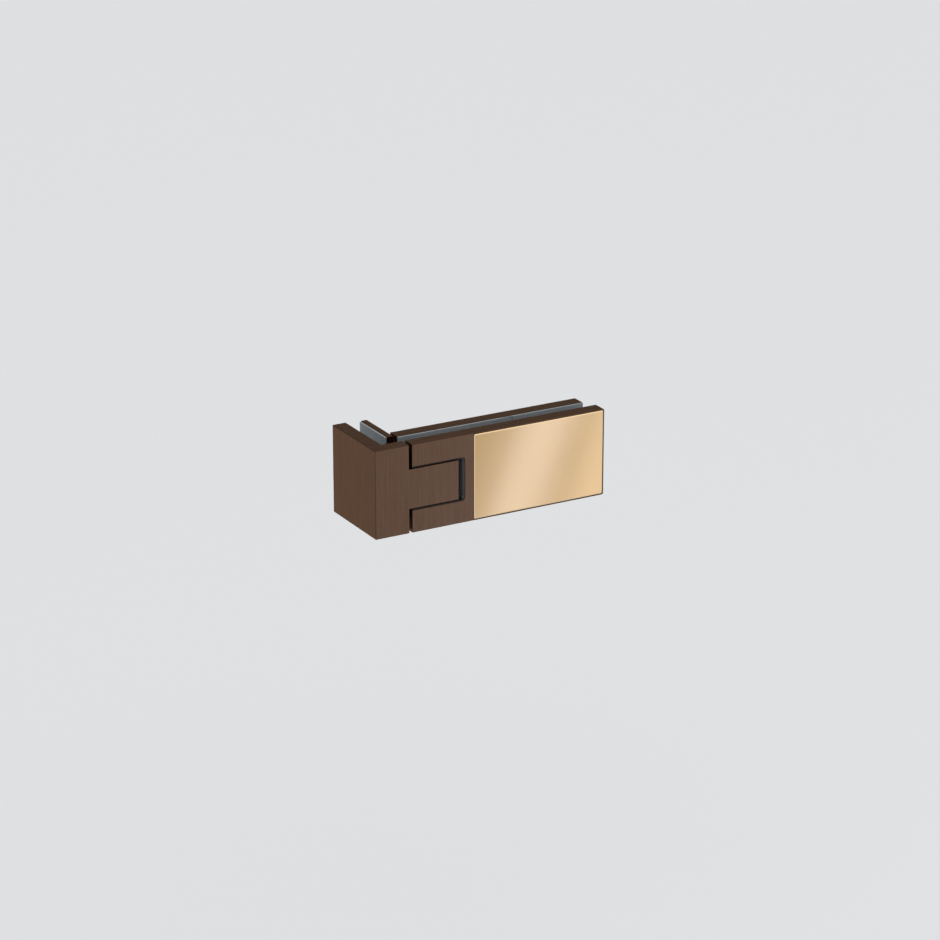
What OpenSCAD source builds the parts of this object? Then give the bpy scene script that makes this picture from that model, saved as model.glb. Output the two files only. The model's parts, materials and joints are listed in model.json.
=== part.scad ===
// Lift hinge that joins a fixed sheet to a swinging sheet at a right angle.
// A leaf swings on a vertical pin, and a carriage behind it climbs a helix and lifts the swinging sheet.
// X runs along the closed leaf, Y goes in behind it, and Z is up.
// The origin is the middle of the fixed sheet's seat on the bracket.

/* [Clamped sheets] */
// Thickness of both clamped sheets
sheet_t = 8; // [8:1:12]
// Thickness of the clamping pads
pad_t = 1; // [0.8:0.1:1.3]
// How far a front pad stands out of its pocket
pad_proud = 0.3; // [0.2:0.05:0.5]
// Metal rim around a front pad's pocket
pad_rim = 1.2; // [1:0.1:2]
// How far an inner pad stops short of its plate's edges
pad_edge = 0.4; // [0.3:0.1:1]

/* [Front plates] */
// Height of the bracket and of the leaf
plate_h = 50; // [49:0.5:60]
// Thickness of the bracket and of the leaf
plate_t = 8; // [7.8:0.1:9]
// Corner radius at the leaf's free end
corner_r = 1; // [0.5:0.1:2]

/* [Corner bracket] */
// Length of the leg on the fixed sheet
leg_l = 49; // [47:0.5:70]
// Length of the arm from the corner to the split
arm_l = 20.4; // [19:0.1:30]
// Length of the tongue past the split
tongue_l = 30.2; // [28:0.1:36]

/* [Leaf] */
// Length of the leaf
leaf_l = 119.6; // [114:0.2:160]
// Height of each ear, above and below the tongue
ear_h = 12.7; // [12:0.1:14]
// Gap between the tongue and each ear
side_gap = 1; // [0.8:0.05:1.3]
// Thickness of the dark liner in the notch
liner_t = 0.5; // [0.4:0.05:0.6]
// Corner radius inside the lined notch
notch_r = 1.5; // [1:0.1:1.8]
// Thickness of the web between the cover and the carriage
web_t = 1.2; // [1:0.1:1.5]
// Rim of the leaf above and below the carriage pocket
pocket_rim = 1.4; // [1:0.1:1.8]

/* [Cover] */
// Length of the cover plate
cover_l = 81; // [78:0.5:84]
// Depth of the cover plate below the leaf's face
cover_t = 1.5; // [1:0.1:1.6]
// Width of the leaf's rim around the cover
cover_border = 0.8; // [0.6:0.1:1.5]
// Width of the cover's bevelled edge
bevel_w = 0.6; // [0.4:0.1:1.2]
// Height of the cover's bevelled edge
bevel_h = 0.16; // [0.1:0.02:0.3]
// Diameter of the cover's pegs
peg_d = 3; // [2.5:0.1:3.4]

/* [Inner plates] */
// Thickness of the inner plate on the fixed sheet
fixed_back_t = 3.5; // [3.4:0.1:4.5]
// Length of the inner plate on the fixed sheet
fixed_back_l = 30; // [26:0.5:31]
// Thickness of the inner plate on the swinging sheet
door_back_t = 7.3; // [6.5:0.1:8.5]
// How much lower than the front the inner plates stand
back_inset = 0.6; // [0.2:0.1:1]
// How much shorter than the leaf the inner plate is
back_short = 3.4; // [2.6:0.1:6]
// Width of the channel across the inner pad
channel_w = 6; // [4:0.5:8]
// Depth of that channel
channel_d = 0.6; // [0.3:0.1:0.7]

/* [Pivot and lift] */
// Diameter of the pivot pin
pin_d = 6; // [5:0.1:6.5]
// How far the pin's axis lies in front of the plates' back face
pivot_inset = 0.35; // [0.2:0.05:0.6]
// Opening angle of the leaf
swing = 90; // [70:5:90]
// How far the carriage rises at the opening angle
lift = 5; // [3:0.25:5.5]
// Diameter of the cross pin that rides in the helix
cross_d = 3; // [2.5:0.1:3]
// Thickness of the carriage's lugs
lug_t = 2.7; // [2.2:0.1:3]

/* [Fasteners] */
// Diameter of the screws through the fixed sheet
fixed_screw_d = 6; // [5:0.1:6.2]
// Distance of those screws from the bracket's top and bottom
fixed_screw_edge = 13; // [11:0.5:16]
// Diameter of the screws through the swinging sheet
door_screw_d = 5; // [4:0.1:5.2]
// Distance between the screws through the swinging sheet
door_screw_span = 48; // [44:0.5:52]
// Distance between the guide screws
guide_span = 22; // [20:0.5:24]

/* [Hidden] */
$fn = 96;

BRONZE = [0.36, 0.28, 0.23];
GOLD = [0.86, 0.73, 0.55];
STEEL = [0.62, 0.62, 0.63];
DARK = [0.10, 0.11, 0.12];
PAD_GREY = [0.36, 0.42, 0.47];
NYLON = [0.88, 0.88, 0.86];

// Clearances
lap = 0.5;
run_clear = 0.05;
seat_clear = 0.02;
slide_clear = 0.2;
swing_clear = 0.3;
web_clear = 0.15;
cover_clear = 0.1;
hole_clear = 0.2;
barrel_clear = 0.35;

// Planes across the clamped sheets
pad_sunk = pad_t - pad_proud;
seat_x = plate_t + pad_proud;
sheet_back = seat_x + sheet_t;
back_at = sheet_back + pad_t;
seat_y = leg_l - fixed_back_l / 2;
back_h = plate_h - 2 * back_inset;
fixed_back_y = [leg_l - fixed_back_l, leg_l];
fixed_back_x = [back_at, back_at + fixed_back_t];
door_back_y = [back_at, back_at + door_back_t];

// The barrel just clears the inner pad, and its end is the tongue's end
pin_r = pin_d / 2;
pivot_y = plate_t - pivot_inset;
barrel_r = sheet_back - barrel_clear - pivot_y;
barrel_wall = 2.8;
tongue_x1 = arm_l + tongue_l;
pivot_x = tongue_x1 - barrel_r;
helix_r = barrel_r - barrel_wall;

// The gaps at the split and at the tongue's end are what the swinging corners sweep
ear_reach = sqrt(pow(pivot_x - arm_l - swing_clear, 2) - pow(pivot_y, 2));
ear_x0 = pivot_x - ear_reach;
notch_x1 = pivot_x + sqrt(pow(barrel_r, 2) + pow(pivot_y, 2)) + swing_clear;
notch_h = plate_h - 2 * ear_h;
tongue_h = notch_h - 2 * side_gap;
leaf_x1 = ear_x0 + leaf_l;

// Heights of ears, lugs and carriage
pocket_h = plate_h - 2 * pocket_rim;
carriage_h = pocket_h - lift - 2 * slide_clear;
carriage_z = [slide_clear - pocket_h / 2, slide_clear - pocket_h / 2 + carriage_h];
lug_z = [[carriage_z[0], carriage_z[0] + lug_t], [carriage_z[1] - lug_t, carriage_z[1]]];
ear_top = lug_z[1][0] - slide_clear;
rest_z = -lift / 2;

// Depths inside the leaf
recess_y = cover_t + cover_clear;
head_t = 1.2;
web_y = [recess_y + head_t + slide_clear, recess_y + head_t + slide_clear + web_t];
carriage_y = [web_y[1] + web_clear, plate_t];
head_y = web_y[0] - run_clear;

// Lengths inside the leaf
notch_wall = 2.6;
end_wall = 2.8;
pocket_x = [notch_x1 + liner_t + notch_wall, leaf_x1 - end_wall];
carriage_x = [pocket_x[0] + slide_clear, pocket_x[1] - slide_clear];
carriage_mid = (carriage_x[0] + carriage_x[1]) / 2;
door_screw_x = [carriage_mid - door_screw_span / 2, carriage_mid + door_screw_span / 2];
guide_x = [carriage_mid - guide_span / 2, carriage_mid + guide_span / 2];
head_room = 9;
head_room_x = grown(door_screw_x, head_room);
head_room_h = 32;
back_x = [ear_x0, leaf_x1 - back_short];
channel_at = (pivot_x + back_x[1]) / 2;

// Cover and its pegs
cover_x = [leaf_x1 - cover_border - cover_l, leaf_x1 - cover_border];
cover_h = plate_h - 2 * cover_border;
peg_inset = 3.6;
peg_x = [cover_x[0] + peg_inset, cover_x[1] - peg_inset];
peg_z = cover_h / 2 - peg_inset;
peg_end = web_y[1] - slide_clear - cover_clear;
grommet_wall = 1;
grommet_r = peg_d / 2 + grommet_wall;

// Lugs and bosses of the carriage
lug_wall = 2.5;
lug_r = pin_r + lug_wall;
lug_room = 0.3;
arm_back = plate_t + sheet_t / 2;
boss_wall = 3.5;
boss_r = door_screw_d / 2 + boss_wall;
boss_end = back_at;
sleeve_wall = 1;
sleeve_r = boss_r + sleeve_wall;
cap_head_ratio = 0.84;
cap_socket_ratio = 0.55;
screw_head_r = door_screw_d * cap_head_ratio;
cap_socket_r = screw_head_r * cap_socket_ratio;
screw_sink = 2.6;
screw_seat = plate_t + screw_sink;
window_room = 1.6;
window_r = screw_head_r + window_room;
thread_bite = 4.8;
thread_end = boss_end + thread_bite;

// Fixed clamp
fixed_r = fixed_screw_d / 2;
flat_head_ratio = 1.9;
flat_socket_ratio = 0.77;
flat_socket_depth = 0.8;
fixed_head_r = fixed_r * flat_head_ratio;
fixed_head_h = fixed_head_r - fixed_r;
flat_socket_r = fixed_r * flat_socket_ratio;
fixed_thread = 6;
fixed_sleeve_wall = 2;
fixed_sleeve_r = fixed_r + fixed_sleeve_wall;
fixed_screw_z = plate_h / 2 - fixed_screw_edge;

// Helix, bushes and small screws
slot_clear = 0.25;
slot_rise = cross_d + 2 * slot_clear;
cross_reach = helix_r - slide_clear;
bush_wall = 1.5;
flange_w = 3;
bush_r = pin_r + bush_wall;
flange_r = pin_r + flange_w;
grub_r = 1.5;
grub_socket_ratio = 0.6;
grub_z = -(tongue_h / 2 + lift / 2 + slot_rise / 2) / 2;
grub_bite = 0.8;
shoulder_r = 2.5;
guide_head_r = 4;
guide_thread_r = 2;
guide_thread = 2;
guide_socket_r = 1.45;

// Shapes that repeat

// A pair of limits either side of zero
function about(size) = [-size / 2, size / 2];

// A pair of limits grown at both ends
function grown(span, by) = [span[0] - by, span[1] + by];

module in_frame() {
    translate([-seat_x, -seat_y, 0])
        children();
}

module box(x, y, z) {
    translate([x[0], y[0], z[0]])
        cube([x[1] - x[0], y[1] - y[0], z[1] - z[0]]);
}

module rod_x(r, x, y, z) {
    translate([x[0], y, z])
        rotate([0, 90, 0])
            cylinder(r = r, h = x[1] - x[0]);
}

module rod_y(r, x, y, z) {
    translate([x, y[0], z])
        rotate([-90, 0, 0])
            cylinder(r = r, h = y[1] - y[0]);
}

module pivot_rod(r, z) {
    translate([pivot_x, pivot_y, z[0]])
        cylinder(r = r, h = z[1] - z[0]);
}

// A hexagon socket that opens towards the start of its own axis
module hex_y(r, x, y, z) {
    translate([x, y[0], z])
        rotate([-90, 0, 0])
            cylinder(r = r, h = y[1] - y[0], $fn = 6);
}

// An outline in X and Z, carried through a range of Y
module through_y(y) {
    translate([0, y[1], 0])
        rotate([90, 0, 0])
            linear_extrude(height = y[1] - y[0])
                children();
}

// A rectangle with all corners round
module round_rect(x, z, r) {
    translate([x[0] + r, z[0]])
        square([x[1] - x[0] - 2 * r, z[1] - z[0]]);
    translate([x[0], z[0] + r])
        square([x[1] - x[0], z[1] - z[0] - 2 * r]);
    for (cx = grown(x, -r), cz = grown(z, -r))
        translate([cx, cz])
            circle(r = r);
}

// A rectangle with round corners at its far end only
module end_round_rect(x, z, r) {
    translate([x[0], z[0]])
        square([x[1] - x[0] - r, z[1] - z[0]]);
    translate([x[0], z[0] + r])
        square([x[1] - x[0], z[1] - z[0] - 2 * r]);
    for (cz = grown(z, -r))
        translate([x[1] - r, cz])
            circle(r = r);
}

// A slot that stands upright, given the heights of its end centres
module upright_slot(r, x, z) {
    translate([x - r, z[0]])
        square([2 * r, z[1] - z[0]]);
    for (cz = z)
        translate([x, cz])
            circle(r = r);
}

// The back half of a knuckle barrel, cut level with the front face
module knuckle(z) {
    intersection() {
        pivot_rod(barrel_r, z);
        box([pivot_x - 2 * barrel_r, pivot_x + 2 * barrel_r], [0, 2 * back_at], grown(z, lap));
    }
}

// The two helical slots, cut in small steps as a mill cuts them, by a bit that turns as it climbs
module helix_slots() {
    steps = 12;
    for (i = [0 : steps])
        translate([pivot_x, pivot_y, rest_z + lift * i / steps])
            rotate([0, 90, 90 - swing * i / steps])
                cylinder(r = cross_d / 2 + slot_clear, h = 4 * helix_r, center = true);
}

// Parts on the fixed sheet

module corner_bracket() {
    color(BRONZE) in_frame() difference() {
        union() {
            box([0, plate_t], [0, leg_l], about(plate_h));
            box([0, arm_l], [0, plate_t], about(plate_h));
            box([arm_l - lap, pivot_x], [0, plate_t], about(tongue_h));
            box([arm_l - lap, tongue_x1], [0, pivot_y], about(tongue_h));
            knuckle(about(tongue_h));
        }
        pivot_rod(helix_r + seat_clear, about(tongue_h + 2 * lap));
        rod_y(cross_d / 2 + hole_clear, pivot_x, [pivot_y, back_at], rest_z);
        rod_y(grub_r + seat_clear, pivot_x, [pivot_y, back_at], grub_z);
        box([plate_t - pad_sunk, plate_t + lap], grown(fixed_back_y, -pad_rim), about(back_h - 2 * pad_rim));
        for (z = about(2 * fixed_screw_z))
            rod_x(fixed_r + seat_clear, [plate_t - fixed_thread, plate_t + lap], seat_y, z);
    }
}

module fixed_back_plate() {
    sink_r = fixed_head_r + 2 * seat_clear;
    color(BRONZE) in_frame() difference() {
        box(fixed_back_x, fixed_back_y, about(back_h));
        for (z = about(2 * fixed_screw_z)) {
            rod_x(fixed_r + hole_clear, grown(fixed_back_x, lap), seat_y, z);
            translate([fixed_back_x[1], seat_y, z])
                rotate([0, -90, 0])
                    cylinder(r1 = sink_r, r2 = fixed_r, h = sink_r - fixed_r);
        }
    }
}

module fixed_pad(x, inset) {
    color(PAD_GREY) in_frame() difference() {
        box(x, grown(fixed_back_y, -inset), about(back_h - 2 * inset));
        for (z = about(2 * fixed_screw_z))
            rod_x(fixed_sleeve_r + hole_clear, grown(x, lap), seat_y, z);
    }
}

module fixed_front_pad() {
    fixed_pad([plate_t - pad_sunk, seat_x], pad_rim + seat_clear);
}

module fixed_back_pad() {
    fixed_pad([sheet_back, back_at], pad_edge);
}

module fixed_sleeve(z) {
    x = [plate_t - pad_sunk, back_at];
    color(NYLON) in_frame() difference() {
        rod_x(fixed_sleeve_r, x, seat_y, z);
        rod_x(fixed_r + hole_clear, grown(x, lap), seat_y, z);
    }
}

module fixed_screw(z) {
    head_x = fixed_back_x[1] - seat_clear;
    color(STEEL) in_frame() difference() {
        union() {
            rod_x(fixed_r, [plate_t - fixed_thread + lap, head_x - fixed_head_h / 2], seat_y, z);
            translate([head_x, seat_y, z])
                rotate([0, -90, 0])
                    cylinder(r1 = fixed_head_r, r2 = fixed_r, h = fixed_head_h);
        }
        translate([head_x - fixed_head_h * flat_socket_depth, seat_y, z])
            rotate([0, 90, 0])
                cylinder(r = flat_socket_r, h = fixed_head_h, $fn = 6);
    }
}

module helix_bush() {
    color(STEEL) in_frame() difference() {
        pivot_rod(helix_r, about(tongue_h));
        pivot_rod(pin_r + run_clear, about(tongue_h + 2 * lap));
        helix_slots();
        rod_y(grub_r + seat_clear, pivot_x, [pivot_y + helix_r - grub_bite, pivot_y + 2 * helix_r], grub_z);
    }
}

module bush_grub_screw() {
    y = [pivot_y + helix_r - grub_bite, pivot_y + barrel_r - hole_clear];
    color(DARK) in_frame() difference() {
        rod_y(grub_r, pivot_x, y, grub_z);
        hex_y(grub_r * grub_socket_ratio, pivot_x, [y[1] - grub_r, y[1] + lap], grub_z);
    }
}

// Parts of the swinging leaf

module door_plate() {
    lug_x0 = pivot_x - lug_r - lug_room;
    lug_y0 = pivot_y - lug_r - lug_room;
    color(BRONZE) in_frame() difference() {
        union() {
            through_y([0, plate_t])
                end_round_rect([ear_x0, leaf_x1], about(plate_h), corner_r);
            knuckle([notch_h / 2, ear_top]);
            knuckle([-ear_top, -notch_h / 2]);
        }
        through_y([-lap, plate_t + lap])
            end_round_rect([ear_x0 - lap, notch_x1 + liner_t], about(notch_h), notch_r + liner_t);
        for (z = [[ear_top, pocket_h / 2], [-pocket_h / 2, -ear_top]])
            box([lug_x0, pocket_x[0] + lap], [lug_y0, plate_t + lap], z);
        box(pocket_x, [web_y[1], plate_t + lap], about(pocket_h));
        through_y([-lap, recess_y])
            round_rect(grown(cover_x, cover_clear), about(cover_h + 2 * cover_clear), corner_r);
        box(head_room_x, [0, web_y[0]], about(head_room_h));
        through_y([0, web_y[1] + lap]) {
            for (x = door_screw_x)
                upright_slot(window_r, x, about(lift));
            for (x = guide_x)
                upright_slot(shoulder_r + cover_clear, x, about(lift));
        }
        for (x = peg_x, z = about(2 * peg_z))
            rod_y(grommet_r + seat_clear, x, [0, web_y[1] + lap], z);
        pivot_rod(bush_r + seat_clear, about(2 * ear_top + 2 * lap));
    }
}

module cover_plate() {
    color(GOLD) in_frame() {
        through_y([0, cover_t])
            round_rect(cover_x, about(cover_h), corner_r);
        hull() {
            through_y([0, lap])
                round_rect(cover_x, about(cover_h), corner_r, $fn = 32);
            through_y([-bevel_h, 0])
                round_rect(grown(cover_x, -bevel_w), about(cover_h - 2 * bevel_w), corner_r / 2, $fn = 32);
        }
        for (x = peg_x, z = about(2 * peg_z))
            rod_y(peg_d / 2, x, [cover_t - lap, peg_end], z);
    }
}

module cover_grommet(x, z) {
    color(NYLON) in_frame() difference() {
        rod_y(grommet_r, x, [recess_y, web_y[1] - hole_clear], z);
        rod_y(peg_d / 2 + seat_clear, x, [recess_y - lap, web_y[1] + lap], z);
    }
}

module notch_liner() {
    y = [hole_clear, plate_t - hole_clear];
    color(DARK) in_frame() difference() {
        through_y(y) difference() {
            end_round_rect([ear_x0 + hole_clear, notch_x1 + liner_t - seat_clear],
                about(notch_h - 2 * seat_clear), notch_r + liner_t);
            end_round_rect([ear_x0 - lap, notch_x1], about(notch_h - 2 * liner_t), notch_r);
        }
        pivot_rod(flange_r + hole_clear, about(notch_h + 2 * lap));
    }
}

module ear_bush() {
    color(DARK) in_frame() difference() {
        union() {
            pivot_rod(bush_r, [notch_h / 2 - lap, ear_top]);
            pivot_rod(flange_r, [tongue_h / 2 + run_clear, notch_h / 2]);
        }
        pivot_rod(pin_r + run_clear, [0, plate_h]);
    }
}

module upper_bush() {
    ear_bush();
}

module lower_bush() {
    mirror([0, 0, 1])
        ear_bush();
}

// Parts of the lifting carriage

module carriage() {
    pad_y = plate_t - pad_sunk;
    color(STEEL) in_frame() difference() {
        union() {
            difference() {
                box(carriage_x, carriage_y, carriage_z);
                box(grown(carriage_x, -pad_rim), [pad_y, plate_t + lap], grown(carriage_z, -pad_rim));
            }
            for (x = door_screw_x)
                rod_y(boss_r, x, [carriage_y[0], boss_end], rest_z);
            for (z = lug_z) {
                pivot_rod(lug_r, z);
                box([pivot_x, carriage_x[0] + lap], carriage_y, z);
                box([pivot_x, pocket_x[0] - slide_clear], [carriage_y[0], arm_back], z);
            }
        }
        for (x = door_screw_x) {
            rod_y(screw_head_r + hole_clear, x, [0, screw_seat], rest_z);
            rod_y(door_screw_d / 2 + hole_clear, x, [0, boss_end + lap], rest_z);
        }
        for (x = guide_x)
            rod_y(guide_thread_r + seat_clear, x, [0, carriage_y[0] + guide_thread], rest_z);
        pivot_rod(pin_r + seat_clear, about(plate_h));
    }
}

module pivot_pin() {
    tip = 0.4;
    color(STEEL) in_frame() difference() {
        union() {
            pivot_rod(pin_r, [carriage_z[0] + tip, carriage_z[1] - tip]);
            pivot_rod(pin_r - tip, carriage_z);
        }
        rod_y(cross_d / 2 + seat_clear, pivot_x, [0, back_at], rest_z);
    }
}

module cross_pin() {
    color(STEEL) in_frame()
        rod_y(cross_d / 2, pivot_x, [pivot_y - cross_reach, pivot_y + cross_reach], rest_z);
}

module guide_screw(x) {
    thread_tip = carriage_y[0] + guide_thread - hole_clear;
    color(STEEL) in_frame() difference() {
        union() {
            rod_y(guide_head_r, x, [head_y - head_t, head_y], rest_z);
            rod_y(shoulder_r, x, [head_y - head_t / 2, carriage_y[0]], rest_z);
            rod_y(guide_thread_r, x, [head_y - head_t / 2, thread_tip], rest_z);
        }
        hex_y(guide_socket_r, x, [0, head_y], rest_z);
    }
}

module sleeve_holes(y) {
    for (x = door_screw_x)
        rod_y(sleeve_r + hole_clear, x, grown(y, lap), rest_z);
}

module door_front_pad() {
    y = [plate_t - pad_sunk, plate_t + pad_proud];
    color(PAD_GREY) in_frame() difference() {
        box(grown(carriage_x, -pad_rim - seat_clear), y, grown(carriage_z, -pad_rim - seat_clear));
        sleeve_holes(y);
    }
}

module door_back_pad() {
    y = [sheet_back, back_at];
    color(PAD_GREY) in_frame() difference() {
        box(grown(back_x, -pad_edge), y, about(back_h - 2 * pad_edge));
        box(grown([channel_at, channel_at], channel_w / 2), [y[0] - lap, y[0] + channel_d], about(plate_h));
        sleeve_holes(y);
    }
}

module door_back_plate() {
    color(BRONZE) in_frame() difference() {
        through_y(door_back_y)
            end_round_rect(back_x, about(back_h), corner_r);
        for (x = door_screw_x)
            rod_y(door_screw_d / 2 + seat_clear, x, [back_at, thread_end + lap], rest_z);
    }
}

module door_sleeve(x) {
    y = [plate_t - pad_sunk, boss_end];
    color(NYLON) in_frame() difference() {
        rod_y(sleeve_r, x, y, rest_z);
        rod_y(boss_r + seat_clear, x, grown(y, lap), rest_z);
    }
}

module door_screw(x) {
    head = [screw_seat - door_screw_d, screw_seat];
    color(STEEL) in_frame() difference() {
        union() {
            rod_y(screw_head_r, x, head, rest_z);
            rod_y(door_screw_d / 2, x, [screw_seat - lap, thread_end], rest_z);
        }
        hex_y(cap_socket_r, x, [head[0] - lap, head[0] + door_screw_d / 2], rest_z);
    }
}

corner_bracket();
fixed_back_plate();
fixed_front_pad();
fixed_back_pad();
fixed_sleeve(fixed_screw_z);  // fixed_sleeve_upper
fixed_sleeve(-fixed_screw_z);  // fixed_sleeve_lower
fixed_screw(fixed_screw_z);  // fixed_screw_upper
fixed_screw(-fixed_screw_z);  // fixed_screw_lower
helix_bush();
bush_grub_screw();
door_plate();
cover_plate();
cover_grommet(peg_x[0], peg_z);  // grommet_near_upper
cover_grommet(peg_x[0], -peg_z);  // grommet_near_lower
cover_grommet(peg_x[1], peg_z);  // grommet_far_upper
cover_grommet(peg_x[1], -peg_z);  // grommet_far_lower
notch_liner();
upper_bush();
lower_bush();
carriage();
pivot_pin();
cross_pin();
guide_screw(guide_x[0]);  // guide_screw_near
guide_screw(guide_x[1]);  // guide_screw_far
door_front_pad();
door_back_pad();
door_back_plate();
door_sleeve(door_screw_x[0]);  // door_sleeve_near
door_sleeve(door_screw_x[1]);  // door_sleeve_far
door_screw(door_screw_x[0]);  // door_screw_near
door_screw(door_screw_x[1]);  // door_screw_far
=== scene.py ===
import json
import math

import bmesh
import bpy
from mathutils import Matrix, Vector


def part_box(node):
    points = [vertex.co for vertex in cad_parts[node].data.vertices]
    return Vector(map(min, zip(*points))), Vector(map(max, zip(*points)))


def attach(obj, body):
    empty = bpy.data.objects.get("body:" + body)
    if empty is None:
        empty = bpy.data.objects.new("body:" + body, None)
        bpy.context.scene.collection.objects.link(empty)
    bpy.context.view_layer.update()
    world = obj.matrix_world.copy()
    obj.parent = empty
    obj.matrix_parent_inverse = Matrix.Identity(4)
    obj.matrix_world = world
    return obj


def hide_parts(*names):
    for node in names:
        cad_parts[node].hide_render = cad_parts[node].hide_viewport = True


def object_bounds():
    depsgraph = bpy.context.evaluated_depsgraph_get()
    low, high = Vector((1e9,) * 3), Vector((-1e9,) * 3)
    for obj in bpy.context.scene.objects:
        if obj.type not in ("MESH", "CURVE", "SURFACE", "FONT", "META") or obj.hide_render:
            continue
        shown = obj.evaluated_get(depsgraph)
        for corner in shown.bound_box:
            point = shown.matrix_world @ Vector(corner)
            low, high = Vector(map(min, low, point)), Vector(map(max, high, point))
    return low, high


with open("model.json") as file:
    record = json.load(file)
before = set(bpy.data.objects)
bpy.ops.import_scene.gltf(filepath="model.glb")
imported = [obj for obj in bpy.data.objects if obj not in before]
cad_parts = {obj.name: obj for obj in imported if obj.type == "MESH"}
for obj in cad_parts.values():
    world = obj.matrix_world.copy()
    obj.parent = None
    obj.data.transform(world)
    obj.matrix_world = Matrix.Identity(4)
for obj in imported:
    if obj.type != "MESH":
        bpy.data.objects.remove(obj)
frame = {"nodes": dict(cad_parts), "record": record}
cad_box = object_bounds()
nodes = frame["nodes"]

MM = 0.001

# The view, measured from the bracket's outer corner at mid height
VIEW_YAW = math.radians(29.4)
VIEW_PITCH = math.radians(20.1)
VIEW_DISTANCE = 1763.7 * MM
VIEW_ACROSS = -50.04 * MM
VIEW_UP = -13.82 * MM
VIEW_REACH = 100.0
FOCAL_PIXELS = 3333.5
IMAGE_PIXELS = 940
SENSOR = 36.0

# The floor, well below the hinge
FLOOR_DROP = 300 * MM
FLOOR_REACH = 30.0
FLOOR_COLOUR = (0.775, 0.785, 0.795)
FLOOR_ROUGHNESS = 0.8

# A broad panel ahead of the cover. Every lamp's glow is the radiance that a mirror would show
PANEL_SIDE = Vector((0.42, -0.90, 0.17))
PANEL_DISTANCE = 2.2
PANEL_WIDTH = 2.0
PANEL_HEIGHT = 0.6
PANEL_GLOW = 0.80
PANEL_COLOUR = (1.0, 1.0, 1.0)

# Two leaning strips that the cover mirrors to the camera, each with its place across the cover's
# face, its glow and its colour
STRIP_DISTANCE = 450 * MM
STRIP_WIDTH = 30 * MM
STRIP_LENGTH = 250 * MM
STRIP_LEAN = math.radians(-18.5)
STRIPS = {
    "streak_strip": (-6 * MM, 0.90, (0.83, 1.10, 2.0)),
    "edge_strip": (45 * MM, 0.675, (1.01, 1.155, 1.556)),
}

# The sky's brightness by height in degrees: a pale haze, a dim wall and a bright ceiling
SKY_TINT = (0.995, 0.995, 1.0)
SKY_BANDS = ((0.0, 0.75), (9.0, 0.30), (28.0, 0.30), (42.0, 1.265))

# Each finish's colours, from its darkest to its palest, and those of its marked places
BRONZE = ((0.120, 0.060, 0.036), (0.156, 0.098, 0.066))
# Painted shade on the bronze's broken edges, darker than the bronze itself
BRONZE_EDGE_SHADE = (0.050, 0.026, 0.015)
BRONZE_GLANCING = (0.64, 0.57, 0.52)
GOLD = ((0.610, 0.401, 0.192), (0.644, 0.425, 0.206))
# Painted highlight on the cover's slanted border, paler than the gold itself
GOLD_BEVEL_HIGHLIGHT = (0.86, 0.64, 0.38)
STEEL = ((0.56, 0.57, 0.58), (0.72, 0.72, 0.73))
OXIDE = ((0.018, 0.018, 0.020), (0.050, 0.050, 0.054))
ACETAL = ((0.012, 0.0125, 0.013), (0.024, 0.025, 0.026))
# Painted light on the liner's end wall, a paler grey than the black plastic
ACETAL_PAINTED_LIGHT = (0.165, 0.170, 0.175)
PAD_RUBBER = ((0.26, 0.29, 0.305), (0.32, 0.35, 0.365))
NYLON = ((0.66, 0.66, 0.63), (0.76, 0.76, 0.73))

# The bronze's brush lines: lines to the metre, how much longer than wide a line is, the fine
# lines' share of the tone and how far the tone is spread
BRUSH_PITCH = 6500.0
BRUSH_RUN = 90.0
FINE_SHARE = 0.72
TONE_SPREAD = (-1.1, 2.1)

# The tilt that makes a face a top, and how far a broken edge takes the painted dark edge shade
TOP_FACING = 0.7
EDGE_SHADE_SHARE = 0.8

# The steel's tool marks to the metre: across X, Y and Z where milled, outwards where turned
MILLING_PITCH = (90.0, 3000.0, 3000.0)
TURNING_PITCH = 7000.0

# Edges that a finisher breaks on the metal, the pads and the plastic
METAL_EDGE = 0.25 * MM
COVER_EDGE = 0.12 * MM
PAD_EDGE = 0.12 * MM
LINER_EDGE = 0.15 * MM
EDGE_STEPS = 3

# How near counts as one point and as touching, and the angles that count as flat, sharp and round
WELD = 0.001 * MM
TOUCH = 0.01 * MM
FLAT_ANGLE = math.radians(1.0)
SHARP_ANGLE = math.radians(40.0)
ROUND_ANGLE = math.radians(35.0)
COVER_ROUND_ANGLE = math.radians(12.0)

# How strongly broad faces steer the smooth shading
BROAD_FACE_WEIGHT = 100

# Countersunk socket screws: corners of a round and of the socket, the head's land, its broken edges
SCREW_SIDES = 96
SOCKET_SIDES = 6
SCREW_LAND = 0.4 * MM
SCREW_EDGE = 0.15 * MM

# As shares: head and socket of the shank's radius, the socket's depth of the head's height, and
# the drilling of the socket's radius
SCREW_HEAD = 1.9
SCREW_SOCKET = 0.77
SCREW_SOCKET_DEPTH = 0.72
SCREW_DRILL = 0.55

# The cover's border, which carries a painted highlight, lies within this depth and leans more than
# the flat face
BEVEL_DEPTH = 0.18 * MM
FLAT_FACE = 0.995
COVER_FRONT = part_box("cover_plate")[0].y

# The end wall of the notch's liner, painted paler grey as painted light, faces back along the leaf
END_FACING = 0.6
LINER_MIDDLE = sum(corner.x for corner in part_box("notch_liner")) / 2


# Shader helpers

def new_material(name):
    material = bpy.data.materials.new(name)
    material.use_nodes = True
    tree = material.node_tree
    return material, tree, tree.nodes["Principled BSDF"]


def give(tree, node, inputs):
    """Gives each named input what another node puts out, or a value of its own."""
    for label, value in inputs.items():
        socket = node.inputs[label]
        if isinstance(value, bpy.types.NodeSocket):
            tree.links.new(value, socket)
        elif socket.type == "RGBA":
            socket.default_value = (*value, 1.0)
        else:
            socket.default_value = value


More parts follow.
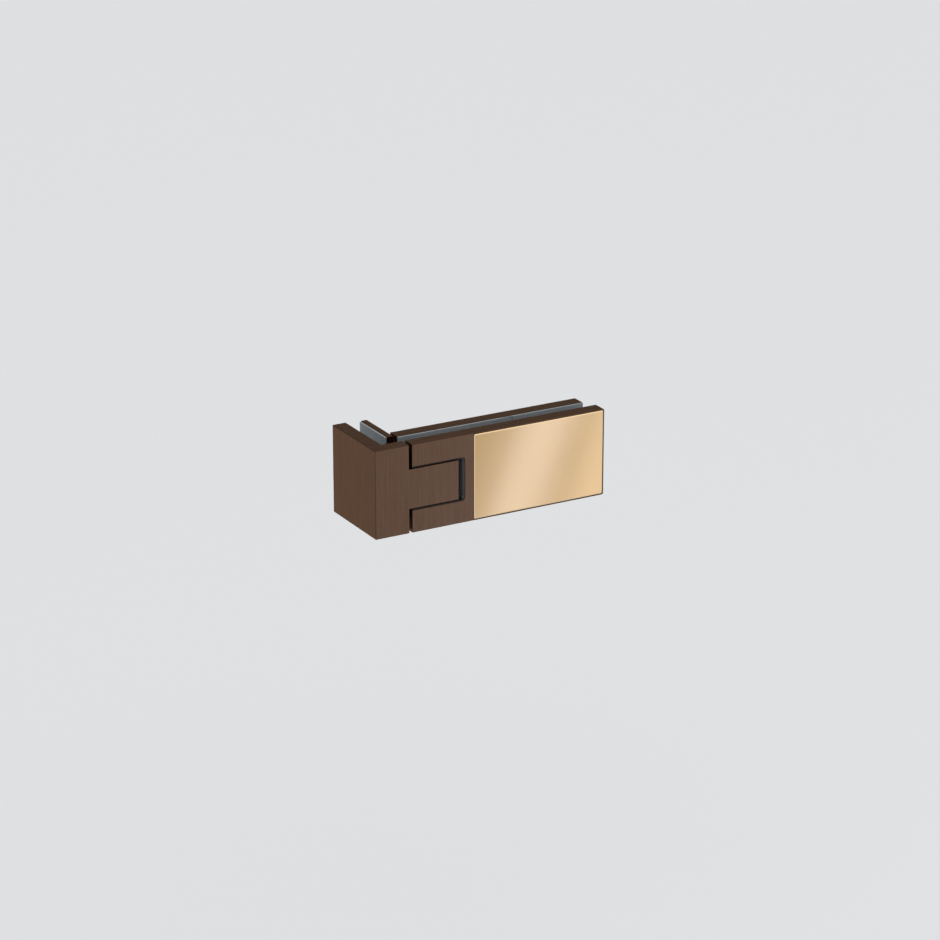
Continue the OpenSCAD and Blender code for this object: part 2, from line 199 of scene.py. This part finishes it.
def add(tree, kind, inputs, **settings):
    """Adds a node with its settings and inputs, and returns what it puts out."""
    node = tree.nodes.new(kind)
    for name, value in settings.items():
        setattr(node, name, value)
    give(tree, node, inputs)
    return node.outputs


def worked_out(tree, operation, *values):
    return add(tree, "ShaderNodeMath", dict(enumerate(values)), operation=operation)[0]


def ranged(tree, value, low, high):
    inputs = {"Value": value, "To Min": low, "To Max": high}
    return add(tree, "ShaderNodeMapRange", inputs)["Result"]


def mixed(tree, kind, factor, first, second):
    """Goes from the first value to the second, both of one kind: VALUE, VECTOR or RGBA."""
    node = tree.nodes.new("ShaderNodeMix")
    node.data_type = "FLOAT" if kind == "VALUE" else kind
    start, end = [place for place, socket in enumerate(node.inputs) if socket.type == kind][-2:]
    give(tree, node, {"Factor": factor, start: first, end: second})
    return next(socket for socket in node.outputs if socket.type == kind)


def bumped(tree, height, strength, depth):
    inputs = {"Height": height, "Strength": strength, "Distance": depth}
    return add(tree, "ShaderNodeBump", inputs)["Normal"]


def mark_on(tree, label):
    """The mark that some faces or corners of a piece carry."""
    return add(tree, "ShaderNodeAttribute", {}, attribute_name=label)["Fac"]


def new_group(name, inputs, outputs):
    group = bpy.data.node_groups.new(name, "ShaderNodeTree")
    for label, kind in inputs.items():
        group.interface.new_socket(label, in_out="INPUT", socket_type=kind)
    for label, kind in outputs.items():
        group.interface.new_socket(label, in_out="OUTPUT", socket_type=kind)
    return group, group.nodes.new("NodeGroupInput").outputs, group.nodes.new("NodeGroupOutput")


# Effects that several finishes share

def hairline_group():
    """Fine lines that run along the axis whose pitch is small."""
    group, start, end = new_group(
        "hairlines",
        {"Place": "NodeSocketVector", "Pitch": "NodeSocketVector"},
        {"Line": "NodeSocketFloat", "Broad line": "NodeSocketFloat"},
    )
    stretched = add(
        group, "ShaderNodeVectorMath", {0: start["Place"], 1: start["Pitch"]}, operation="MULTIPLY"
    )[0]
    fine = {"Vector": stretched, "Scale": 1.0, "Detail": 3.0, "Roughness": 0.65}
    broad = {"Vector": stretched, "Scale": 0.20, "Detail": 2.0}
    give(group, end, {
        "Line": add(group, "ShaderNodeTexNoise", fine)["Fac"],
        "Broad line": add(group, "ShaderNodeTexNoise", broad)["Fac"],
    })
    return group


def handling_group():
    """Soft cloudy marks that hands and cloths leave, and a fine grain."""
    group, start, end = new_group(
        "handling",
        {"Place": "NodeSocketVector", "Scale": "NodeSocketFloat"},
        {"Smudge": "NodeSocketFloat", "Grain": "NodeSocketFloat"},
    )
    cloud = {"Vector": start["Place"], "Scale": start["Scale"], "Detail": 4.0}
    grain = {"Vector": start["Place"], "Scale": 6000.0, "Detail": 2.0}
    give(group, end, {
        "Smudge": add(group, "ShaderNodeTexNoise", cloud)["Fac"],
        "Grain": add(group, "ShaderNodeTexNoise", grain)["Fac"],
    })
    return group


HAIRLINES = hairline_group()
HANDLING = handling_group()


def hairlines(tree, place, pitch):
    return add(tree, "ShaderNodeGroup", {"Place": place, "Pitch": pitch}, node_tree=HAIRLINES)


def handling(tree, place, scale):
    return add(tree, "ShaderNodeGroup", {"Place": place, "Scale": scale}, node_tree=HANDLING)


# Finishes

def brushed_bronze():
    """Brown bronze, brushed up and down on upright faces and along the length on top."""
    material, tree, shader = new_material("brushed_bronze")
    place = add(tree, "ShaderNodeTexCoord", {})
    height = add(tree, "ShaderNodeSeparateXYZ", {"Vector": place["Normal"]})["Z"]
    on_top = worked_out(tree, "GREATER_THAN", worked_out(tree, "ABSOLUTE", height), TOP_FACING)
    along = BRUSH_PITCH / BRUSH_RUN
    upright = (BRUSH_PITCH, BRUSH_PITCH, along)
    level = (along, BRUSH_PITCH, BRUSH_PITCH)
    brushed = hairlines(tree, place["Object"], mixed(tree, "VECTOR", on_top, upright, level))
    handled = handling(tree, place["Object"], scale=40.0)
    fine = worked_out(tree, "MULTIPLY", brushed["Line"], FINE_SHARE)
    broad = worked_out(tree, "MULTIPLY", brushed["Broad line"], 1.0 - FINE_SHARE)
    tone = ranged(tree, worked_out(tree, "ADD", fine, broad), *TONE_SPREAD)
    brown = mixed(tree, "RGBA", tone, *BRONZE)
    # The broken edges are darkened: painted shade that stands in for dark lines along the edges
    edge_shade = worked_out(tree, "MULTIPLY", mark_on(tree, "painted_edge_shade"), EDGE_SHADE_SHARE)
    line_rough = ranged(tree, brushed["Line"], low=0.22, high=0.32)
    hand_rough = ranged(tree, handled["Smudge"], low=-0.03, high=0.05)
    give(tree, shader, {
        "Base Color": mixed(tree, "RGBA", edge_shade, brown, BRONZE_EDGE_SHADE),
        "Roughness": worked_out(tree, "ADD", line_rough, hand_rough),
        "Metallic": 1.0,
        "Specular Tint": BRONZE_GLANCING,
        "Normal": bumped(tree, brushed["Line"], strength=0.6, depth=0.012 * MM),
    })
    return material


def polished_gold():
    """Pale gold, polished nearly to a mirror, with the faintest polishing haze."""
    material, tree, shader = new_material("polished_gold")
    place = add(tree, "ShaderNodeTexCoord", {})
    handled = handling(tree, place["Object"], scale=45.0)
    gold = mixed(tree, "RGBA", handled["Smudge"], *GOLD)
    give(tree, shader, {
        # The slanted border is painted paler: a painted highlight along the cover's edge
        "Base Color": mixed(tree, "RGBA", mark_on(tree, "painted_bevel_highlight"), gold, GOLD_BEVEL_HIGHLIGHT),
        "Roughness": ranged(tree, handled["Smudge"], low=0.11, high=0.15),
        "Metallic": 1.0,
        "Normal": bumped(tree, handled["Grain"], strength=0.02, depth=0.01 * MM),
    })
    return material


def milled_steel():
    """Bright steel with fine tool marks, in rings where a head has been turned."""
    material, tree, shader = new_material("milled_steel")
    place = add(tree, "ShaderNodeTexCoord", {})
    milled = hairlines(tree, place["Object"], MILLING_PITCH)["Line"]
    handled = handling(tree, place["Object"], scale=120.0)
    radius = mark_on(tree, "turned_radius")
    rings = {"W": radius, "Scale": TURNING_PITCH}
    turned = add(tree, "ShaderNodeTexNoise", rings, noise_dimensions="1D")["Fac"]
    is_turned = worked_out(tree, "GREATER_THAN", radius, 0.0)
    tool_mark = mixed(tree, "VALUE", is_turned, milled, turned)
    give(tree, shader, {
        "Base Color": mixed(tree, "RGBA", tool_mark, *STEEL),
        "Roughness": ranged(tree, handled["Smudge"], low=0.20, high=0.34),
        "Metallic": 1.0,
        "Normal": bumped(tree, tool_mark, strength=0.12, depth=0.02 * MM),
    })
    return material


def blackened_steel():
    """Dark oxide on the grub screw."""
    material, tree, shader = new_material("blackened_steel")
    place = add(tree, "ShaderNodeTexCoord", {})
    handled = handling(tree, place["Object"], scale=400.0)
    give(tree, shader, {
        "Base Color": mixed(tree, "RGBA", handled["Smudge"], *OXIDE),
        "Roughness": ranged(tree, handled["Grain"], low=0.35, high=0.50),
        "Metallic": 0.9,
    })
    return material


def black_acetal():
    """Slick black bearing plastic, with painted light on the end wall opposite the tongue's end: a
    paler grey standing in for the sheen it catches.
    """
    material, tree, shader = new_material("black_acetal")
    place = add(tree, "ShaderNodeTexCoord", {})
    handled = handling(tree, place["Object"], scale=300.0)
    black = mixed(tree, "RGBA", handled["Smudge"], *ACETAL)
    give(tree, shader, {
        "Base Color": mixed(tree, "RGBA", mark_on(tree, "end_wall"), black, ACETAL_PAINTED_LIGHT),
        "Roughness": ranged(tree, handled["Grain"], low=0.30, high=0.42),
        "Specular IOR Level": 0.25,
        "Normal": bumped(tree, handled["Grain"], strength=0.05, depth=0.02 * MM),
    })
    return material


def grey_pad():
    """Blue-grey pad rubber with a fine moulded grain."""
    material, tree, shader = new_material("grey_pad")
    place = add(tree, "ShaderNodeTexCoord", {})
    handled = handling(tree, place["Object"], scale=160.0)
    give(tree, shader, {
        "Base Color": mixed(tree, "RGBA", handled["Smudge"], *PAD_RUBBER),
        "Roughness": ranged(tree, handled["Grain"], low=0.66, high=0.84),
        "Specular IOR Level": 0.3,
        "Normal": bumped(tree, handled["Grain"], strength=0.30, depth=0.04 * MM),
    })
    return material


def white_nylon():
    """Milky turned nylon."""
    material, tree, shader = new_material("white_nylon")
    place = add(tree, "ShaderNodeTexCoord", {})
    handled = handling(tree, place["Object"], scale=200.0)
    give(tree, shader, {
        "Base Color": mixed(tree, "RGBA", handled["Smudge"], *NYLON),
        "Roughness": ranged(tree, handled["Grain"], low=0.38, high=0.50),
        "Subsurface Weight": 0.08,
        "Normal": bumped(tree, handled["Grain"], strength=0.08, depth=0.02 * MM),
    })
    return material


FINISHES = {
    "bronze": brushed_bronze(),
    "gold": polished_gold(),
    "pad": grey_pad(),
    "nylon": white_nylon(),
    "dark_plastic": black_acetal(),
    "dark_steel": blackened_steel(),
    "steel": milled_steel(),
}
SLOT_OF = {part["node"]: part["material_slot"] for part in frame["record"]["subparts"]}
BODY_OF = {
    node: body
    for body, members in frame["record"]["behaviour"]["bodies"].items()
    for node in members
}


# Pieces

def shown(name, shape, material):
    """Makes an object of a bmesh, in one material."""
    mesh = bpy.data.meshes.new(name)
    shape.to_mesh(mesh)
    shape.free()
    mesh.materials.append(material)
    piece = bpy.data.objects.new(name, mesh)
    bpy.context.scene.collection.objects.link(piece)
    return piece


def finished(node, shape):
    """Makes a piece that stands for a node, on the node's body and in its finish."""
    piece = shown(node + "_finished", shape, FINISHES[SLOT_OF[node]])
    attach(piece, BODY_OF[node])
    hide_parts(node)
    return piece


def on_outside(edge, low, high):
    """True for an edge whose ends both lie on the outer planes of its piece."""
    return all(
        any(min(abs(end.co[i] - low[i]), abs(end.co[i] - high[i])) < TOUCH for i in range(3))
        for end in edge.verts
    )


def softened(node, width):
    """A copy of a node with its outer edges broken, as a finisher leaves them."""
    low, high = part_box(node)
    shape = bmesh.new()
    shape.from_mesh(nodes[node].data)
    # Marks the broken edges' faces; the bronze paints these darker as painted shade along its edges
    edge_shade = shape.faces.layers.float.new("painted_edge_shade")
    bmesh.ops.remove_doubles(shape, verts=shape.verts, dist=WELD)
    bmesh.ops.dissolve_limit(
        shape, angle_limit=FLAT_ANGLE, verts=shape.verts, edges=shape.edges
    )
    sharp = [
        edge for edge in shape.edges
        if edge.is_manifold
        and edge.calc_face_angle() > SHARP_ANGLE
        and edge.is_convex
        and on_outside(edge, low, high)
    ]
    broken = bmesh.ops.bevel(
        shape, geom=sharp, offset=width, offset_type="OFFSET", segments=EDGE_STEPS, profile=0.5,
        affect="EDGES", material=-1, clamp_overlap=False, loop_slide=True,
    )
    for face in broken["faces"]:
        face[edge_shade] = 1.0
    bmesh.ops.dissolve_degenerate(shape, dist=WELD, edges=shape.edges)
    return finished(node, shape)


def marked(piece, label, chosen):
    """Marks the faces that a test picks, for the finish to show."""
    shape = bmesh.new()
    shape.from_mesh(piece.data)
    layer = shape.faces.layers.float.new(label)
    for face in shape.faces:
        face[layer] = float(chosen(face))
    shape.to_mesh(piece.data)
    shape.free()
    return piece


def on_highlight_border(face):
    """True for the cover's slanted border, which gets a painted highlight."""
    near_front = max(corner.co.y for corner in face.verts) < COVER_FRONT + BEVEL_DEPTH
    return near_front and abs(face.normal.y) < FLAT_FACE


def on_end_wall(face):
    """True for the inside of the liner's closed end, opposite the tongue's end."""
    return face.normal.x < -END_FACING and face.calc_center_median().x > LINER_MIDDLE


def smooth_rounds(piece, angle):
    """Shades faces smoothly across edges flatter than the angle."""
    with bpy.context.temp_override(
        object=piece, active_object=piece, selected_editable_objects=[piece]
    ):
        bpy.ops.object.shade_smooth_by_angle(angle=angle)
    weighted = piece.modifiers.new("weighted_normals", "WEIGHTED_NORMAL")
    weighted.keep_sharp = True
    weighted.weight = BROAD_FACE_WEIGHT


def screw_ring(shape, sides, radius, centre, turned):
    """A loop about the screw's axis, round or six-sided, with as many corners as the others."""
    before = set(shape.edges)
    stand = Matrix.Translation(centre) @ Matrix.Rotation(math.pi / 2, 4, "Y")
    if sides < SCREW_SIDES:
        stand = stand @ Matrix.Rotation(math.pi / sides, 4, "Z")
    bmesh.ops.create_circle(shape, segments=sides, radius=radius, matrix=stand)
    if sides < SCREW_SIDES:
        straight = [edge for edge in shape.edges if edge not in before]
        bmesh.ops.subdivide_edges(shape, edges=straight, cuts=SCREW_SIDES // sides - 1)
    loop = [edge for edge in shape.edges if edge not in before]
    for corner in {end for edge in loop for end in edge.verts}:
        corner[turned] = (corner.co - Vector(centre)).length
    return loop


def turned_screw(node):
    """A countersunk socket screw along X, with a land round its head and a lead into its socket.

    The rings are bridged while they stand a head's radius apart, and then move to their places.
    """
    low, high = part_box(node)
    axis_y, axis_z = (low.y + high.y) / 2, (low.z + high.z) / 2
    head = (high.y - low.y) / 2
    shank = head / SCREW_HEAD
    rim = head - SCREW_LAND
    socket = shank * SCREW_SOCKET
    drill = socket * SCREW_DRILL
    neck = high.x - (head - shank)
    floor = high.x - (head - shank) * SCREW_SOCKET_DEPTH
    rings = (
        (SCREW_SIDES, shank, low.x),
        (SCREW_SIDES, shank, neck),
        (SCREW_SIDES, rim, high.x - SCREW_LAND),
        (SCREW_SIDES, rim, high.x - SCREW_EDGE),
        (SCREW_SIDES, rim - SCREW_EDGE, high.x),
        (SCREW_SIDES, socket + 2 * SCREW_EDGE, high.x),
        (SOCKET_SIDES, socket + SCREW_EDGE, high.x),
        (SOCKET_SIDES, socket, high.x - SCREW_EDGE),
        (SOCKET_SIDES, socket, floor),
        (SCREW_SIDES, drill, floor),
        (SCREW_SIDES, SCREW_EDGE, floor - drill / 2),
    )
    shape = bmesh.new()
    turned = shape.verts.layers.float.new("turned_radius")
    loops = [
        screw_ring(shape, sides, radius, (order * head, axis_y, axis_z), turned)
        for order, (sides, radius, _) in enumerate(rings)
    ]
    for first, second in zip(loops, loops[1:]):
        bmesh.ops.bridge_loops(shape, edges=first + second)
    for order, (loop, (_, _, x)) in enumerate(zip(loops, rings)):
        corners = list({end for edge in loop for end in edge.verts})
        bmesh.ops.translate(shape, verts=corners, vec=(x - order * head, 0.0, 0.0))
    bmesh.ops.holes_fill(shape, edges=loops[0] + loops[-1], sides=SCREW_SIDES)
    bmesh.ops.recalc_face_normals(shape, faces=shape.faces)
    return finished(node, shape)


for node in ("corner_bracket", "door_plate", "fixed_back_plate", "door_back_plate", "carriage"):
    smooth_rounds(softened(node, METAL_EDGE), ROUND_ANGLE)
cover = marked(softened("cover_plate", COVER_EDGE), "painted_bevel_highlight", on_highlight_border)
smooth_rounds(cover, COVER_ROUND_ANGLE)
for node in ("fixed_front_pad", "fixed_back_pad", "door_front_pad", "door_back_pad"):
    smooth_rounds(softened(node, PAD_EDGE), ROUND_ANGLE)
liner = marked(softened("notch_liner", LINER_EDGE), "end_wall", on_end_wall)
smooth_rounds(liner, ROUND_ANGLE)
for node in ("fixed_screw_upper", "fixed_screw_lower"):
    smooth_rounds(turned_screw(node), ROUND_ANGLE)

for node, solid in nodes.items():
    solid.data.materials.clear()
    solid.data.materials.append(FINISHES[SLOT_OF[node]])


# Studio

def lay_floor():
    shape = bmesh.new()
    bmesh.ops.create_grid(shape, x_segments=2, y_segments=2, size=FLOOR_REACH)
    bmesh.ops.translate(shape, verts=shape.verts, vec=(0.0, 0.0, cad_box[0][2] - FLOOR_DROP))
    material, tree, shader = new_material("pale_floor")
    give(tree, shader, {"Base Color": FLOOR_COLOUR, "Roughness": FLOOR_ROUGHNESS})
    floor = shown("floor", shape, material)


def light_sky():
    world = bpy.data.worlds.new("sky")
    bpy.context.scene.world = world
    world.use_nodes = True
    tree = world.node_tree
    place = add(tree, "ShaderNodeTexCoord", {})
    height = add(tree, "ShaderNodeSeparateXYZ", {"Vector": place["Generated"]})["Z"]
    bands = tree.nodes.new("ShaderNodeValToRGB")
    brightest = max(glow for _, glow in SKY_BANDS)
    marks = bands.color_ramp.elements
    while len(marks) < len(SKY_BANDS):
        marks.new(1.0)
    for mark, (degrees, glow) in zip(marks, SKY_BANDS):
        mark.position = math.sin(math.radians(degrees))
        mark.color = (*(share * glow / brightest for share in SKY_TINT), 1.0)
    give(tree, bands, {"Fac": height})
    give(tree, tree.nodes["Background"], {"Color": bands.outputs["Color"], "Strength": brightest})


def aim_camera():
    ahead = Vector((
        math.sin(VIEW_YAW) * math.cos(VIEW_PITCH),
        math.cos(VIEW_YAW) * math.cos(VIEW_PITCH),
        -math.sin(VIEW_PITCH),
    ))
    right = Vector((math.cos(VIEW_YAW), -math.sin(VIEW_YAW), 0.0))
    up = right.cross(ahead)
    low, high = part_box("corner_bracket")
    corner = Vector((low.x, low.y, (low.z + high.z) / 2))
    place = corner - VIEW_DISTANCE * ahead - VIEW_ACROSS * right - VIEW_UP * up
    camera = bpy.data.cameras.new("camera")
    camera.sensor_width = SENSOR
    camera.lens = FOCAL_PIXELS / IMAGE_PIXELS * SENSOR
    camera.clip_end = VIEW_REACH
    holder = bpy.data.objects.new("camera", camera)
    turn = Matrix((right, up, -ahead)).transposed()
    holder.matrix_world = Matrix.Translation(place) @ turn.to_4x4()
    bpy.context.scene.collection.objects.link(holder)
    bpy.context.scene.camera = holder


def softbox(name, place, target, size, glow, colour, roll=0.0):
    """An area lamp that faces a target, rolled about its own line of sight."""
    width, height = size
    light = bpy.data.lights.new(name, "AREA")
    light.shape = "RECTANGLE"
    light.size = width
    light.size_y = height
    light.energy = glow * math.pi * width * height
    light.color = colour
    lamp = bpy.data.objects.new(name, light)
    facing = (target - place).to_track_quat("-Z", "Y").to_matrix().to_4x4()
    lamp.matrix_world = Matrix.Translation(place) @ facing @ Matrix.Rotation(roll, 4, "Z")
    lamp.visible_camera = False
    bpy.context.scene.collection.objects.link(lamp)


def light_cover():
    """The panel ahead of the cover, and the strips where the cover mirrors them to the camera."""
    low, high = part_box("cover_plate")
    face = Vector(((low.x + high.x) / 2, low.y, (low.z + high.z) / 2))
    panel_place = face + PANEL_DISTANCE * PANEL_SIDE
    softbox("front_panel", panel_place, face, (PANEL_WIDTH, PANEL_HEIGHT), PANEL_GLOW, PANEL_COLOUR)
    view = (face - bpy.context.scene.camera.location).normalized()
    mirrored_view = view * Vector((1.0, -1.0, 1.0))
    sideways = mirrored_view.cross(Vector((0.0, 0.0, 1.0))).normalized()
    for name, (across, glow, colour) in STRIPS.items():
        target = face - across * sideways
        place = target + STRIP_DISTANCE * mirrored_view
        softbox(name, place, target, (STRIP_WIDTH, STRIP_LENGTH), glow, colour, roll=STRIP_LEAN)


lay_floor()
light_sky()
aim_camera()
light_cover()
bpy.context.scene.view_settings.view_transform = "Standard"
